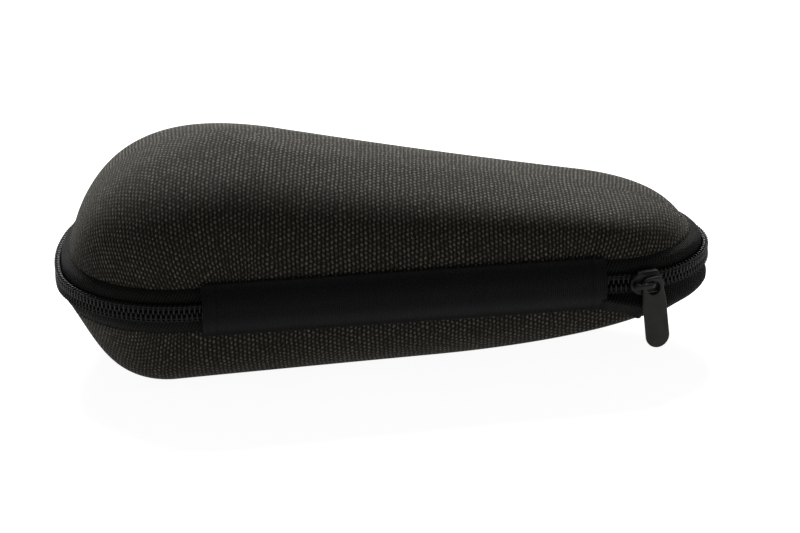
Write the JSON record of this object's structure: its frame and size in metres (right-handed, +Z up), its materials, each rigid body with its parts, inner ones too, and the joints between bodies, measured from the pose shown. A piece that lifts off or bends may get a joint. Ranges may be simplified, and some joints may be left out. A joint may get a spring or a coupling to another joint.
{
  "type": "electric shaver hard case",
  "caption": "Zipped moulded hard case for a handheld electric shaver: a deep rounded head end tapers to a low handle end, with a cloth hinge band along one side.",
  "frame": {"origin": "bottom centre of the closed case's box, on the flat foot's plane", "axes": "+X along the case from the shaver's head end towards its handle end, -Y towards the hinge side, +Z up through the lid"},
  "size_m": [0.195, 0.0954, 0.0663],
  "materials": {
    "cover_cloth": "heather dark grey basket weave, matte",
    "shell_foam": "closed-cell foam sheet, matte",
    "lining_cloth": "brushed knit lining, matte",
    "zip_tape_cloth": "twill tape, matte",
    "zip_coil_nylon": "satin",
    "filler_cord": "twisted cord, matte",
    "hinge_cloth": "fine ribbed cloth, matte",
    "binding_ribbon": "grosgrain ribbon, matte",
    "sewing_thread": "spun thread, matte",
    "slider_metal": "satin",
    "tab_metal": "matte"
  },
  "bodies": {
    "base": {"base_cover": "cover_cloth", "base_foam": "shell_foam", "base_lining": "lining_cloth", "base_rim_binding": "binding_ribbon", "base_binding_stitches": "sewing_thread", "lower_zip_tape": "zip_tape_cloth", "lower_zip_coil": "zip_coil_nylon", "lower_filler_cord": "filler_cord", "hinge_band": "hinge_cloth", "hinge_lining": "hinge_cloth"},
    "lid": {"lid_cover": "cover_cloth", "lid_foam": "shell_foam", "lid_lining": "lining_cloth", "lid_rim_binding": "binding_ribbon", "lid_binding_stitches": "sewing_thread", "upper_zip_tape": "zip_tape_cloth", "upper_zip_coil": "zip_coil_nylon", "upper_filler_cord": "filler_cord"},
    "slider": {"slider_body": "slider_metal"},
    "tab": {"pull_tab": "tab_metal"}
  },
  "joints": [
    {"name": "lid_hinge", "type": "hinge", "parent": "base", "child": "lid", "pos_m": [-0.05497, -0.04734, 0.02709], "axis": [0.9912, 0.1321, 0], "range_deg": [0, 160], "deforming": ["hinge_band", "hinge_lining", "upper_zip_tape", "upper_zip_coil", "upper_filler_cord"]},
    {"name": "slider_travel", "type": "hinge", "parent": "base", "child": "slider", "pos_m": [0.0666, 0.00004, 0.02709], "axis": [0, 0, 1], "range_deg": [-10, 150]},
    {"name": "pull_tab_swing", "type": "hinge", "parent": "slider", "child": "tab", "pos_m": [0.07817, -0.02865, 0.02709], "axis": [0.3256, -0.9455, 0], "range_deg": [-38, 205]}
  ]
}
